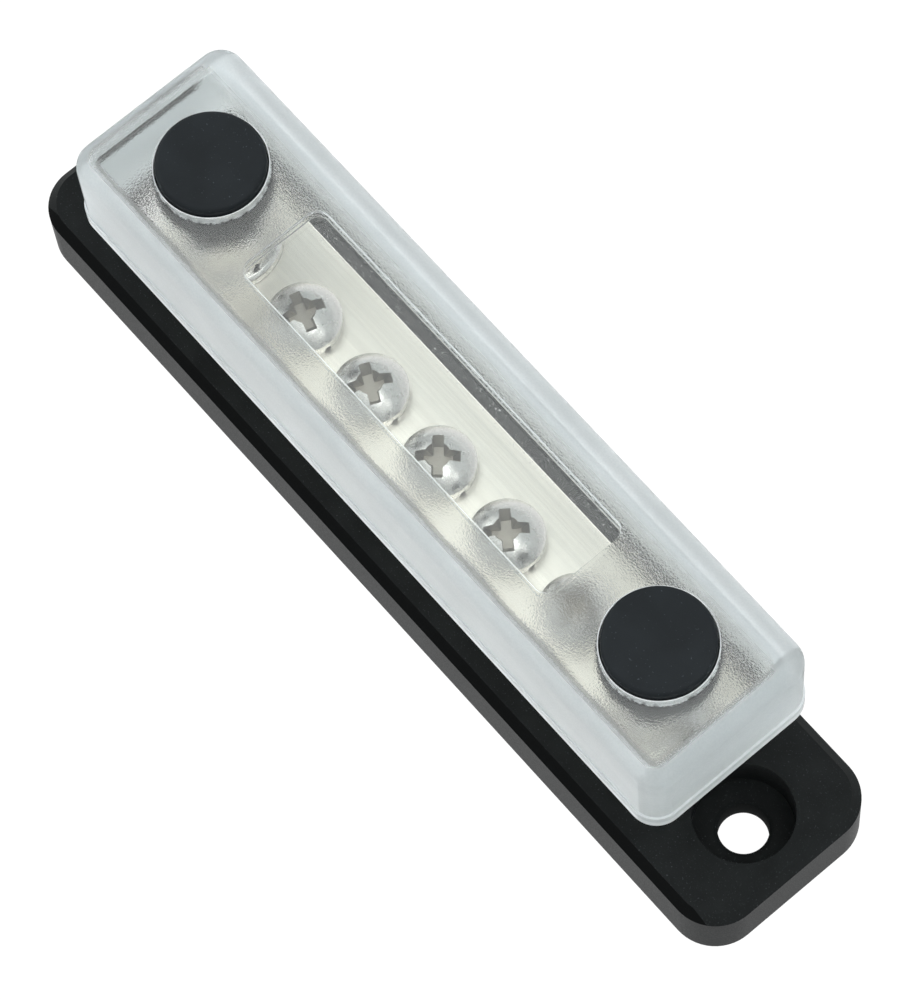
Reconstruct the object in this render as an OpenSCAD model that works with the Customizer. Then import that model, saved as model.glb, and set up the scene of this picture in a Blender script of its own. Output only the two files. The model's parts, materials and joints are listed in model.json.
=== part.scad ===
// Covered power busbar: a tin-plated bar with terminal screws and two studs on a moulded base,
// under a frosted push-on cover with a clear window. Millimetres, +Z up, +X along the bar.
// The origin is on the underside of the base, at its centre.

/* [Base] */
// Overall width of the base
base_width = 23; // [21:0.5:32]
// Thickness of the base
base_height = 7.9; // [7:0.1:12]
// Plan radius of the base corners
base_corner_radius = 5; // [2:0.5:8]
// Chamfer round the top edge of the base
base_chamfer = 1; // [0.4:0.1:2]

/* [Mounting holes] */
// Distance from a mounting hole to the nearest stud
mount_gap = 12.6; // [11.6:0.1:16]
// Distance from a mounting hole to the end of the base
mount_inset = 8; // [6.5:0.5:12]
// Diameter of a mounting hole
mount_hole_d = 5.3; // [3:0.1:6.5]
// Diameter of the counterbore for the screw head
counterbore_d = 10.6; // [7.5:0.1:10.8]
// Thickness left under the screw head
counterbore_floor = 3; // [1.5:0.1:5]

/* [Bar] */
// How far the bar runs past the middle of each stud
bar_overhang = 6.6; // [6.4:0.1:7.5]
// Width of the bar
bar_width = 15.6; // [13:0.1:19]
// Thickness of the bar
bar_thickness = 5; // [3:0.1:6]
// Plan radius of the bar corners
bar_corner_radius = 1.2; // [0.5:0.1:4]

/* [Studs] */
// Distance from a stud to the nearest terminal screw
stud_gap = 12.8; // [10.6:0.1:20]
// Thread diameter of a stud
stud_d = 6; // [5:0.1:6.4]
// Length of a stud under its head
stud_length = 25; // [24:0.5:32]
// Width across the flats of the stud heads and nuts
hex_width = 10; // [9:0.1:11]
// Height of a stud head
stud_head_h = 4; // [2:0.1:4.1]
// Thickness of base between a stud head and the bar
stud_floor = 3.7; // [2.5:0.1:4]
// Height of a stud nut
nut_h = 5; // [4:0.1:6]
// Outer diameter of a flat washer
washer_d = 12; // [10.5:0.1:12.6]
// Thickness of a flat washer
washer_t = 1.6; // [0.8:0.1:2]
// Outer diameter of a stud spring washer
stud_lock_d = 10.6; // [9.5:0.1:11.8]
// Thickness of a stud spring washer
stud_lock_t = 1.6; // [1:0.1:2]

/* [Terminal screws] */
// Distance between neighbouring terminal screws
screw_spacing = 10.8; // [9.5:0.1:20]
// Thread diameter of a terminal screw
screw_d = 4; // [3:0.1:4.6]
// Length of a terminal screw under its head
screw_length = 8; // [6:0.1:8.8]
// Diameter of a screw head
head_d = 8; // [7:0.1:8.6]
// Height of a screw head
head_h = 2.7; // [2.3:0.1:3.2]
// Height of the straight rim of a screw head
head_rim = 0.8; // [0.4:0.1:1.2]
// Span of the cross recess across the head
recess_span = 5.5; // [4:0.1:5.8]
// Width of one wing of the cross recess
recess_wing = 1.25; // [0.7:0.05:1.4]
// Diameter of the round middle of the recess
recess_core = 2.6; // [2.2:0.1:3]
// Depth of the cross recess
recess_depth = 1.8; // [1:0.1:2]
// Outer diameter of a screw spring washer
screw_lock_d = 7.8; // [6.4:0.1:8.4]
// Thickness of a screw spring washer
screw_lock_t = 1.1; // [0.7:0.1:1.4]

/* [Caps] */
// Diameter of a cap's visible top
cap_d = 11.5; // [10.5:0.1:12.5]
// Overall length of a cap
cap_length = 9; // [8.4:0.1:9.3]
// Thickness of the cap over the end of the stud
cap_roof = 3; // [1.6:0.1:3.4]
// Rounding of the cap's top edge
cap_rounding = 0.6; // [0.2:0.1:1.2]
// How far the shoulder that carries the cover reaches under it
cap_shoulder = 0.3; // [0.2:0.05:0.8]
// Height of that shoulder
cap_shoulder_h = 3; // [1.5:0.1:4]
// Diameter of the hub under the shoulder
cap_hub_d = 9.6; // [8:0.1:11]

/* [Cover] */
// How far the cover's lip runs past the middle of each stud
cover_overhang = 11.3; // [10.6:0.1:13]
// Width of the cover at its lip
cover_width = 21.5; // [20:0.1:24]
// Height of the cover from lip to top
cover_height = 12.7; // [11:0.1:15]
// Plan radius of the cover corners
cover_corner_radius = 3; // [2.9:0.1:5]
// Rounding of the cover's top edges
cover_edge_radius = 2.6; // [1:0.1:2.7]
// Thickness of the long side walls
cover_side_wall = 2.2; // [1.4:0.1:2.5]
// Thickness of the end walls
cover_end_wall = 2.2; // [1.6:0.1:3.4]
// Thickness of the cover's top
cover_top_t = 2; // [1.4:0.1:2.4]
// Height of the lip round the bottom of the cover
lip_h = 2; // [1:0.1:5]
// How far the lip stands out from the walls
lip_t = 0.2; // [0.1:0.05:0.35]
// How far the caps stand above the cover's top
cap_rise = 1.1; // [0.2:0.1:1.6]

/* [Window] */
// Length of the clear window
window_length = 47; // [30:0.5:52]
// Width of the clear window
window_width = 10.4; // [6:0.1:13]
// Plan radius of the window corners
window_corner_radius = 1.3; // [0.6:0.1:3]
// Depth of the window below the frosted top
window_depth = 0.3; // [0.1:0.05:0.6]

/* [Hidden] */

$fn = 64;
// Extra length of a cut beyond the face that it leaves
cut = 1;
// Radial play between a thread and the plain bore that stands for its mate
thread_play = 0.08;
// Radial play of a stud in the bar, washers and base
stud_play = 0.2;
// Play across the flats between a stud head and its pocket
hex_play = 0.2;
// Radial play of a cap in the cover's hole
cap_play = 0.15;
// End play at the tips of screws and studs
tip_play = 0.3;
// Width of the split in a spring washer, and its slant from the axis
split_w = 0.7;
split_slant = 20;
// Chamfer on thread ends, nut corners and hole edges
edge_break = 0.4;
// Share of the recess span that is left at its bottom
recess_taper = 0.55;
// Slope of the chamfer on the corners of a nut
nut_slope = 30;
// How the recess of each screw was left turned when it was tightened
recess_turns = [74, 65, 48, 55, 20];

// Levels, from the base up
bar_top = base_height + bar_thickness;
stud_seat = base_height - stud_floor;
stud_top = stud_seat + stud_length;
lock_seat = bar_top + washer_t;
nut_seat = lock_seat + stud_lock_t;
head_seat = bar_top + screw_lock_t;
screw_tip = head_seat - screw_length;
cap_top = stud_top + tip_play + cap_roof;
cap_bottom = cap_top - cap_length;
cover_top = cap_top - cap_rise;
cover_bottom = cover_top - cover_height;
ceiling = cover_top - cover_top_t;
shoulder_bottom = ceiling - cap_shoulder_h;

// Places along the bar, from its middle out, and the lengths that follow from them
left = -1;
right = 1;
screw_count = len(recess_turns);
function screw_x(number) = (number - (screw_count + 1) / 2) * screw_spacing;
stud_x = screw_x(screw_count) + stud_gap;
mount_x = stud_x + mount_gap;
bar_length = 2 * (stud_x + bar_overhang);
cover_length = 2 * (stud_x + cover_overhang);
base_length = 2 * (mount_x + mount_inset);

// Radius of the dome whose edge meets the rim of a screw head
dome_rise = head_h - head_rim;
dome_r = (head_d * head_d / 4 + dome_rise * dome_rise) / (2 * dome_rise);
cap_hole_d = cap_d + 2 * cap_play;
cap_shoulder_d = cap_hole_d + 2 * cap_shoulder;

// A block with rounded plan corners. Its child is the section of its edge, from x = 0 out to the
// corner radius
module edged_block(length, width, corner, height) {
    core_l = length - 2 * corner;
    core_w = width - 2 * corner;
    translate([-core_l / 2, -core_w / 2, 0]) cube([core_l, core_w, height]);
    for (side = [0, 180]) rotate(side) {
        translate([-core_l / 2, -core_w / 2, 0])
            rotate([90, 0, 90]) mirror([1, 0, 0]) linear_extrude(core_l) children();
        translate([core_l / 2, core_w / 2, 0]) rotate([90, 0, 0]) linear_extrude(core_w) children();
        translate([core_l / 2, core_w / 2, 0]) rotate_extrude(angle = 90) children();
        translate([core_l / 2, -core_w / 2, 0]) rotate([0, 0, -90]) rotate_extrude(angle = 90) children();
    }
}

// A flat outline with rounded corners
module rounded_outline(length, width, radius) {
    square([length, width - 2 * radius], center = true);
    square([length - 2 * radius, width], center = true);
    for (x = [-1, 1]) for (y = [-1, 1]) {
        translate([x * (length / 2 - radius), y * (width / 2 - radius)]) circle(radius);
    }
}

// A hexagonal prism by its width across the flats
module hex_prism(width, height) {
    cylinder(d = width / cos(30), h = height, $fn = 6);
}

// A rod with a chamfer at its top end
module chamfered_rod(diameter, height) {
    cylinder(d = diameter, h = height - edge_break);
    translate([0, 0, height - edge_break])
        cylinder(d1 = diameter, d2 = diameter - 2 * edge_break, h = edge_break);
}

// A split spring washer, flattened as when it is tightened
module split_washer(outer_d, bore_d, thickness) {
    difference() {
        cylinder(d = outer_d, h = thickness);
        translate([0, 0, -cut]) cylinder(d = bore_d, h = thickness + 2 * cut);
        translate([outer_d / 2, 0, thickness / 2]) rotate([split_slant, 0, 0])
            cube([outer_d, split_w, 3 * thickness], center = true);
    }
}

// The section of the base's edge, with its top chamfer
module base_edge() {
    polygon([
        [0, 0],
        [base_corner_radius, 0],
        [base_corner_radius, base_height - base_chamfer],
        [base_corner_radius - base_chamfer, base_height],
        [0, base_height]
    ]);
}

module base() {
    color([0.14, 0.15, 0.15])
    difference() {
        edged_block(base_length, base_width, base_corner_radius, base_height) base_edge();
        for (side = [left, right]) {
            translate([side * mount_x, 0, 0]) mounting_hole();
            translate([side * stud_x, 0, 0]) stud_pocket();
        }
        for (number = [1 : screw_count]) {
            translate([screw_x(number), 0, screw_tip - tip_play])
                cylinder(d = screw_d + 2 * stud_play, h = base_height);
        }
    }
}

// The cut for one mounting screw: a hole, its edge break and a counterbore
module mounting_hole() {
    translate([0, 0, -cut]) cylinder(d = mount_hole_d, h = counterbore_floor + 2 * cut);
    translate([0, 0, counterbore_floor]) cylinder(d = counterbore_d, h = base_height);
    translate([0, 0, counterbore_floor - edge_break / 2])
        cylinder(d1 = mount_hole_d, d2 = mount_hole_d + 2 * edge_break, h = edge_break);
}

// The cut for one stud: a hexagonal pocket from below and a round hole above it
module stud_pocket() {
    translate([0, 0, -cut]) hex_prism(hex_width + hex_play, stud_seat + cut);
    translate([0, 0, -cut]) cylinder(d = stud_d + 2 * stud_play, h = base_height + 2 * cut);
}

module busbar() {
    color([0.86, 0.87, 0.83])
    translate([0, 0, base_height])
    linear_extrude(bar_thickness)
    difference() {
        rounded_outline(bar_length, bar_width, bar_corner_radius);
        for (side = [left, right]) translate([side * stud_x, 0]) circle(d = stud_d + 2 * stud_play);
        for (number = [1 : screw_count]) {
            translate([screw_x(number), 0]) circle(d = screw_d + 2 * thread_play);
        }
    }
}

module stud(side) {
    color([0.72, 0.73, 0.74])
    translate([side * stud_x, 0, stud_seat]) {
        translate([0, 0, -stud_head_h]) hex_prism(hex_width, stud_head_h);
        chamfered_rod(stud_d, stud_length);
    }
}

module stud_washer(side) {
    color([0.7, 0.71, 0.72])
    translate([side * stud_x, 0, bar_top])
    difference() {
        chamfered_rod(washer_d, washer_t);
        translate([0, 0, -cut]) cylinder(d = stud_d + 2 * stud_play, h = washer_t + 2 * cut);
    }
}

module stud_lock_washer(side) {
    color([0.66, 0.67, 0.69])
    translate([side * stud_x, 0, lock_seat]) split_washer(stud_lock_d, stud_d + 2 * stud_play, stud_lock_t);
}

// A hex nut whose corners are turned off at both faces
module nut(side) {
    middle_d = hex_width + nut_h / tan(nut_slope);
    color([0.74, 0.75, 0.76])
    translate([side * stud_x, 0, nut_seat])
    difference() {
        intersection() {
            hex_prism(hex_width, nut_h);
            union() {
                cylinder(d1 = hex_width, d2 = middle_d, h = nut_h / 2);
                translate([0, 0, nut_h / 2]) cylinder(d1 = middle_d, d2 = hex_width, h = nut_h / 2);
            }
        }
        translate([0, 0, -cut]) cylinder(d = stud_d + 2 * thread_play, h = nut_h + 2 * cut);
    }
}

// A tapered hole for the recess, with its bottom at z = 0
module recess_cone(diameter) {
    cylinder(d1 = diameter * recess_taper, d2 = diameter, h = recess_depth);
    translate([0, 0, recess_depth]) cylinder(d = diameter, h = cut);
}

// The cross recess of a screw head, narrower at its bottom, with its top at z = 0
module cross_recess() {
    translate([0, 0, -recess_depth]) {
        recess_cone(recess_core);
        intersection() {
            recess_cone(recess_span);
            for (turn = [0, 90]) rotate(turn) {
                translate([-recess_span, -recess_wing / 2, 0])
                    cube([2 * recess_span, recess_wing, recess_depth + cut]);
            }
        }
    }
}

module screw(number) {
    color([0.8, 0.8, 0.8])
    translate([screw_x(number), 0, head_seat])
    difference() {
        union() {
            intersection() {
                cylinder(d = head_d, h = head_h);
                translate([0, 0, head_h - dome_r]) sphere(dome_r);
            }
            mirror([0, 0, 1]) chamfered_rod(screw_d, screw_length);
        }
        translate([0, 0, head_h]) rotate(recess_turns[number - 1]) cross_recess();
    }
}

module screw_lock_washer(number) {
    color([0.66, 0.67, 0.69])
    translate([screw_x(number), 0, bar_top])
        split_washer(screw_lock_d, screw_d + 2 * stud_play, screw_lock_t);
}

// Half section of a cap: hub, shoulder and rounded top over a blind bore for the stud
module cap_section() {
    difference() {
        union() {
            translate([0, cap_bottom]) square([cap_hub_d / 2, cap_length - cap_rounding]);
            translate([0, shoulder_bottom]) square([cap_shoulder_d / 2, cap_shoulder_h]);
            translate([0, shoulder_bottom])
                square([cap_d / 2, cap_top - cap_rounding - shoulder_bottom]);
            translate([0, cap_bottom]) square([cap_d / 2 - cap_rounding, cap_length]);
            translate([cap_d / 2 - cap_rounding, cap_top - cap_rounding]) circle(cap_rounding);
        }
        translate([0, cap_bottom - cut]) square([stud_d / 2 + thread_play, cap_length - cap_roof + cut]);
    }
}

module cap(side) {
    color([0.13, 0.14, 0.15])
    translate([side * stud_x, 0, 0]) rotate_extrude() cap_section();
}

// The section of the cover's edge: lip, wall and rounded top edge
module cover_edge() {
    wall_x = cover_corner_radius - lip_t;
    square([cover_corner_radius, lip_h]);
    square([wall_x, cover_height - cover_edge_radius]);
    square([wall_x - cover_edge_radius, cover_height]);
    translate([wall_x - cover_edge_radius, cover_height - cover_edge_radius])
        intersection() {
            circle(cover_edge_radius);
            square(cover_edge_radius);
        }
}

module cover() {
    inner_l = cover_length - 2 * (lip_t + cover_end_wall);
    inner_w = cover_width - 2 * (lip_t + cover_side_wall);
    inner_r = cover_corner_radius - cover_side_wall;
    color([0.84, 0.88, 0.89, 0.6])
    difference() {
        translate([0, 0, cover_bottom])
            edged_block(cover_length, cover_width, cover_corner_radius, cover_height) cover_edge();
        translate([0, 0, cover_bottom - cut])
            linear_extrude(ceiling - cover_bottom + cut) rounded_outline(inner_l, inner_w, inner_r);
        for (side = [left, right]) translate([side * stud_x, 0, ceiling - cut]) {
            cylinder(d = cap_hole_d, h = cover_top_t + 2 * cut);
        }
        translate([0, 0, cover_top - window_depth])
            linear_extrude(window_depth + cut)
            rounded_outline(window_length, window_width, window_corner_radius);
    }
}

base();
busbar();
stud(left);  // stud_left
stud(right);  // stud_right
stud_washer(left);  // stud_washer_left
stud_washer(right);  // stud_washer_right
stud_lock_washer(left);  // stud_lock_washer_left
stud_lock_washer(right);  // stud_lock_washer_right
nut(left);  // nut_left
nut(right);  // nut_right
for (number = [1 : screw_count]) {
    screw(number);
    screw_lock_washer(number);
}
cap(left);  // cap_left
cap(right);  // cap_right
cover();
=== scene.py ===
"""Looks of a busbar with a frosted cover, around its fixed frame. Lengths are in metres."""

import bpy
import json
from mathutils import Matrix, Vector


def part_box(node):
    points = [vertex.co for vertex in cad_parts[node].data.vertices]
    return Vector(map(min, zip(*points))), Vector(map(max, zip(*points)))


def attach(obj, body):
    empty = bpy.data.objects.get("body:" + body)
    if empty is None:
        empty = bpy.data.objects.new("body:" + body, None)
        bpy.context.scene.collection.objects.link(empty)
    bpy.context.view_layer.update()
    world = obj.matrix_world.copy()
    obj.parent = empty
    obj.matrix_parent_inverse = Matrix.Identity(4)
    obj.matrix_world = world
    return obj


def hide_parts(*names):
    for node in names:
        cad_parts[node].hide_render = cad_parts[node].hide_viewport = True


bl_info = {
    "name": "Covered Busbar",
    "version": (1, 0, 0),
    "blender": (4, 5, 0),
    "location": "View3D > Sidebar > Busbar",
    "description": "Models and finishes a busbar with a frosted cover around its fixed frame",
    "category": "Object",
}

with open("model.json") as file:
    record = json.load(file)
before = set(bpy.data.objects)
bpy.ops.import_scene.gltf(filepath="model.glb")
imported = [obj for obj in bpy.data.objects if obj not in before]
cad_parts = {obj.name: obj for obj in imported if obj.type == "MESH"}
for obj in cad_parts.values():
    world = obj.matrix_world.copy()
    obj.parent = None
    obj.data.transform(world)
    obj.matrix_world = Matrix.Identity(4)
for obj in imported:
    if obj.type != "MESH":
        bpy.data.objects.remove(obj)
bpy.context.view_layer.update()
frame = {"record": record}

import json
import math
from contextlib import contextmanager

import bmesh
import bpy
from bpy.props import FloatProperty, FloatVectorProperty, PointerProperty
from bpy.types import Operator, Panel, PropertyGroup
from mathutils import Quaternion, Vector

SIDES = ("left", "right")
SCREW_NUMBERS = range(1, 6)
MILLIMETRE = 0.001

# Steps that the round shapes are made in
TURN_STEPS = 96
THREAD_STEPS = 32
CORNER_STEPS = 14
EDGE_STEPS = 10
CAVITY_EDGE_STEPS = 4
SOFT_EDGE_STEPS = 2
DOME_STEPS = 12
CORE_STEPS = 48

# How far a cutter runs past the face that it opens, and the length of one that ends a thread
MARGIN = 0.001
CUTTER_LENGTH = 0.1
# How near two vertices are to count as one, and how short an edge is to be dissolved
WELD = 1e-7
SLIVER = 1e-6
FULL_TURN = 2 * math.pi
QUARTER_TURN = math.pi / 2
HEX_TURN = math.pi / 6
SMOOTH_ANGLE = math.radians(32)
# A metric thread in shares of its pitch: where its corners lie, which are crests, and its depth
THREAD_CORNERS = (0, 1 / 8, 7 / 16, 9 / 16, 7 / 8, 1)
THREAD_CRESTS = (7 / 16, 9 / 16)
THREAD_DEPTH = 5 / 16 / math.tan(HEX_TURN)
# A face whose normal has this much of a direction points that way
FACING = 0.99


def length(name, description, default):
    """A length that a user may change."""
    return FloatProperty(
        name=name, description=description, default=default, min=0.0, unit="LENGTH", precision=5
    )


def angle(name, description, degrees):
    """An angle that a user may change."""
    return FloatProperty(
        name=name, description=description, default=math.radians(degrees), unit="ROTATION"
    )


def colour(name, description, default):
    """A colour that a user may change."""
    return FloatVectorProperty(
        name=name,
        description=description,
        default=default,
        size=3,
        min=0.0,
        max=1.0,
        subtype="COLOR",
    )


def share(name, description, default):
    """A number from nought to one that a user may change."""
    return FloatProperty(
        name=name, description=description, default=default, min=0.0, max=1.0, subtype="FACTOR"
    )


class BaseSizes(PropertyGroup):
    """Sizes of the moulded base that its box doesn't give"""

    corner_radius: length("Corner radius", "Plan radius of the corners", 0.005)
    chamfer: length("Chamfer", "Chamfer round the top edge", 0.001)
    counterbore_diameter: length("Counterbore", "Diameter of a counterbore", 0.0106)
    counterbore_floor: length("Floor", "Thickness left under a mounting screw's head", 0.003)
    hole_break: length("Hole edge", "Chamfer on the edge of a mounting hole", 0.0004)
    edge_round: length("Edge rounding", "Softening of the moulded edges", 0.00012)


class BarSizes(PropertyGroup):
    """Sizes of the bar that its box doesn't give"""

    corner_radius: length("Corner radius", "Plan radius of the corners", 0.0012)
    edge_round: length("Edge rounding", "Softening of the sheared edges", 0.00014)


class StudSizes(PropertyGroup):
    """Sizes of the studs, their nuts and their washers"""

    diameter: length("Thread diameter", "Outer diameter of the thread", 0.006)
    pitch: length("Pitch", "Rise of the thread in one turn", 0.001)
    hex_width: length("Hex width", "Width across the flats of heads and nuts", 0.01)
    head_height: length("Head height", "Height of a stud head", 0.004)
    play: length("Play", "Radial play in plain holes", 0.0002)
    thread_play: length("Thread play", "Radial play in threaded holes", 0.00008)
    end_chamfer: length("End chamfer", "Chamfer on thread ends and washer edges", 0.0004)
    edge_round: length("Edge rounding", "Softening of machined edges", 0.0001)
    split: length("Split", "Gap in a spring washer", 0.0007)
    split_slant: angle("Split slant", "Slant of that gap from the axis", 20)
    nut_slope: angle("Nut slope", "Slope of a nut's corner chamfer", 30)


class ScrewSizes(PropertyGroup):
    """Sizes of the terminal screws that their boxes don't give"""

    diameter: length("Thread diameter", "Outer diameter of the thread", 0.004)
    pitch: length("Pitch", "Rise of the thread in one turn", 0.0007)
    head_height: length("Head height", "Height of a screw head", 0.0027)
    rim: length("Rim", "Height of the straight rim of a head", 0.0008)
    recess_span: length("Recess span", "Span of the cross recess", 0.0055)
    recess_wing: length("Recess wing", "Width of one wing of the recess", 0.00125)
    recess_core: length("Recess core", "Diameter of the round middle of the recess", 0.0029)
    recess_depth: length("Recess depth", "Depth of the recess", 0.0018)
    recess_taper: share("Recess taper", "Share of the span left at the bottom", 0.55)
    wing_taper: share("Wing taper", "Share of a wing's width left at the bottom", 0.85)
    tip_play: length("Tip play", "Free depth under a screw's tip", 0.0003)
    edge_round: length("Edge rounding", "Softening of the head's edges", 0.00008)
    recess_turns: FloatVectorProperty(
        name="Recess turns",
        description="How each recess was left turned when its screw was tightened",
        default=[math.radians(degrees) for degrees in (74, 65, 48, 55, 20)],
        size=5,
        unit="ROTATION",
    )


class CapSizes(PropertyGroup):
    """Sizes of the stud caps that their boxes don't give"""

    diameter: length("Top diameter", "Diameter of the visible top", 0.0115)
    rounding: length("Rounding", "Rounding of the top edge", 0.0006)
    shoulder_height: length("Shoulder", "Height of the shoulder that carries the cover", 0.003)
    hub_diameter: length("Hub", "Diameter of the hub under the shoulder", 0.0096)
    roof: length("Roof", "Thickness over the end of the stud", 0.003)
    edge_round: length("Edge rounding", "Softening of the moulded edges", 0.0001)


class CoverSizes(PropertyGroup):
    """Sizes of the cover that its box doesn't give"""

    corner_radius: length("Corner radius", "Plan radius of the corners", 0.003)
    edge_radius: length("Edge radius", "Rounding of the top edges", 0.0026)
    side_wall: length("Side wall", "Thickness of the long walls", 0.0022)
    end_wall: length("End wall", "Thickness of the end walls", 0.0022)
    top: length("Top", "Thickness of the top", 0.002)
    lip_height: length("Lip height", "Height of the lip round the bottom", 0.002)
    lip_step: length("Lip step", "How far the lip stands out", 0.0002)
    cap_play: length("Cap play", "Radial play of a cap in its hole", 0.00015)
    window_length: length("Window length", "Length of the clear window", 0.047)
    window_width: length("Window width", "Width of the clear window", 0.0104)
    window_radius: length("Window radius", "Plan radius of the window corners", 0.0013)
    window_depth: length("Window depth", "Depth of the window below the frosted top", 0.0003)
    window_border: length("Window border", "Width of the milky border beside the window", 0.0002)
    hole_chamfer: length("Hole chamfer", "Chamfer on the holes for the caps", 0.00008)
    frost_reach: length("Frost reach", "How far the top's frost runs out over the walls", 0.0011)
    frost_fade: length("Frost fade", "Width of the frost's soft edge", 0.0006)
    back_fade: length("Back fade", "Width of the frost's soft edge along the back", 0.0016)
    # The edge line and the end shade size painted shade in the cavity; the edge line also marks
    # where the end walls' lining begins
    edge_line: length("Edge line", "Width of the shaded line in the cavity's top edge", 0.00025)
    end_shade: length("End shade", "Height of the shade inside the far end wall", 0.0014)
    end_shade_reach: length("End shade reach", "How far back from the middle it runs", 0.006)
    inner_round: length("Inner rounding", "Rounding of the cavity's edges", 0.00014)
    edge_round: length("Edge rounding", "Softening of the moulded edges", 0.00008)


class Finishes(PropertyGroup):
    """Colours of the finishes"""

    base_black: colour("Base", "Black of the moulded base", (0.0105, 0.0118, 0.012))
    base_speck: colour("Base specks", "Pale specks in the base", (0.04, 0.045, 0.047))
    cap_black: colour("Caps", "Black of the caps", (0.009, 0.0115, 0.0135))
    cap_speck: colour("Cap specks", "Pale specks in the caps", (0.05, 0.06, 0.07))
    tin: colour("Tin", "Tin plate of the bar", (1.0, 0.965, 0.875))
    tin_stain: colour("Tin stain", "Faint yellow stain on the bar", (0.9, 0.87, 0.76))
    steel: colour("Steel", "Bright plated steel", (0.6, 0.595, 0.58))
    steel_scuff: colour("Steel scuffs", "Scuffed plated steel", (0.48, 0.47, 0.45))
    # Painted shade: the recess colours are darker than the heads' steel, standing in for the shade
    # down in the recesses
    recess: colour("Recess", "Dull metal down in the recesses", (0.36, 0.335, 0.29))
    recess_scuff: colour("Recess scuffs", "Scuffed metal in the recesses", (0.25, 0.23, 0.2))
    frost: colour("Frost", "Frosted top of the cover", (0.84, 0.85, 0.835))
    milk: colour("Milky walls", "Outside of the cover's walls", (0.72, 0.76, 0.77))
    milk_grain: colour("Wall grain", "Fine grain in the cover's milky walls", (0.58, 0.63, 0.65))
    lining: colour("Lining", "Inside of the cover's walls", (0.95, 0.97, 0.96))
    end_lining: colour("End lining", "Inside of the cover's end walls", (0.92, 0.98, 1.0))
    # Painted highlight: this near-white is laid along the cover's bottom edge, over its lip step
    # and round its cap holes. It is also the colour of the pale streaks in the walls
    foot: colour("Foot", "Bright bottom edge of the cover and its holes", (0.92, 0.95, 0.96))
    clear: colour("Window", "Clear window of the cover", (0.965, 0.98, 0.965))
    # Painted shade: near-black laid along the cavity's top edges, inside its far end wall and at
    # the window's far end
    painted_edge_shade: colour("Inner edge", "Shaded inner edge of the cover", (0.03, 0.034, 0.04))
    floor: colour("Floor", "Studio floor under its glow", (0.05, 0.05, 0.05))


class Studio(PropertyGroup):
    """Camera and light"""

    target: FloatVectorProperty(
        name="Target",
        description="Point that the camera looks at",
        default=(0.004611, -0.001697, 0.016),
        size=3,
        subtype="TRANSLATION",
        unit="LENGTH",
    )
    azimuth: angle("Azimuth", "Turn of the camera from the bar's length", -33.3327)
    elevation: angle("Elevation", "Height of the camera over the horizon", 67.6788)
    roll: angle("Roll", "Roll of the camera", -7.4937)
    distance: length("Distance", "Distance from the camera to its target", 0.47594)
    lens: FloatProperty(
        name="Lens",
        description="Focal length in millimetres",
        default=168.593,
        min=1.0,
        unit="CAMERA",
    )


class BusbarSettings(PropertyGroup):
    """All that a user may change"""

    base: PointerProperty(type=BaseSizes)
    bar: PointerProperty(type=BarSizes)
    stud: PointerProperty(type=StudSizes)
    screw: PointerProperty(type=ScrewSizes)
    cap: PointerProperty(type=CapSizes)
    cover: PointerProperty(type=CoverSizes)
    finish: PointerProperty(type=Finishes)
    studio: PointerProperty(type=Studio)


# Selecting and editing


def clear_selection():
    """Leaves edit mode and deselects everything, the fixed frame too."""
    if bpy.context.mode != "OBJECT":
        bpy.ops.object.mode_set(mode="OBJECT")
    bpy.ops.object.select_all(action="DESELECT")


def make_active(piece):
    """Selects one piece alone."""
    clear_selection()
    piece.select_set(True)
    bpy.context.view_layer.objects.active = piece


@contextmanager
def editing(piece, kind="VERT"):
    """Edit mode on one piece, with nothing selected at first."""
    make_active(piece)
    bpy.ops.object.mode_set(mode="EDIT")
    bpy.ops.mesh.select_mode(type=kind)
    bpy.ops.mesh.select_all(action="DESELECT")
    yield
    bpy.ops.object.mode_set(mode="OBJECT")


def choose(piece, kind, test):
    """Selects the faces or edges of the piece in edit mode that pass the test."""
    mesh = bmesh.from_edit_mesh(piece.data)
    found = [part for part in getattr(mesh, kind) if test(part)]
    if not found:
        raise RuntimeError(f"{piece.name} has no such {kind}")
    for part in found:
        part.select_set(True)
    bmesh.update_edit_mesh(piece.data)


def keep_as(name):
    """Names the new primitive and moves its place and size into its mesh."""
    bpy.ops.object.transform_apply(location=True, rotation=True, scale=True)
    piece = bpy.context.object
    piece.name = piece.data.name = name
    return piece


# Starting shapes


def block(name, low, high):
    """A box between two corners."""
    low, high = Vector(low), Vector(high)
    clear_selection()
    bpy.ops.mesh.primitive_cube_add(size=1, location=(low + high) / 2, scale=high - low)
    return keep_as(name)


def rod(name, x, radius, low, high, top_radius=None, sides=TURN_STEPS):
    """An upright cylinder or cone between two levels. A rod with six sides has flats across Y."""
    clear_selection()
    bpy.ops.mesh.primitive_cone_add(
        vertices=sides,
        radius1=radius,
        radius2=radius if top_radius is None else top_radius,
        depth=high - low,
        location=(x, 0, (low + high) / 2),
        rotation=(0, 0, HEX_TURN),
    )
    return keep_as(name)


def hex_rod(name, x, width, low, high):
    """A hexagonal rod by its width across the flats."""
    return rod(name, x, width / 2 / math.cos(HEX_TURN), low, high, sides=6)


def draw_line(name, points):
    """A line of edges in the XZ plane, drawn by extruding one vertex from point to point."""
    clear_selection()
    (start_x, start_z), *rest = points
    bpy.ops.mesh.primitive_plane_add(size=MARGIN, location=(start_x, 0, start_z))
    piece = keep_as(name)
    with editing(piece):
        bpy.ops.mesh.select_all(action="SELECT")
        bpy.ops.mesh.merge(type="CENTER")
        last_x, last_z = start_x, start_z
        for x, z in rest:
            step = (x - last_x, 0, z - last_z)
            bpy.ops.mesh.extrude_vertices_move(TRANSFORM_OT_translate={"value": step})
            last_x, last_z = x, z
    return piece


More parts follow.
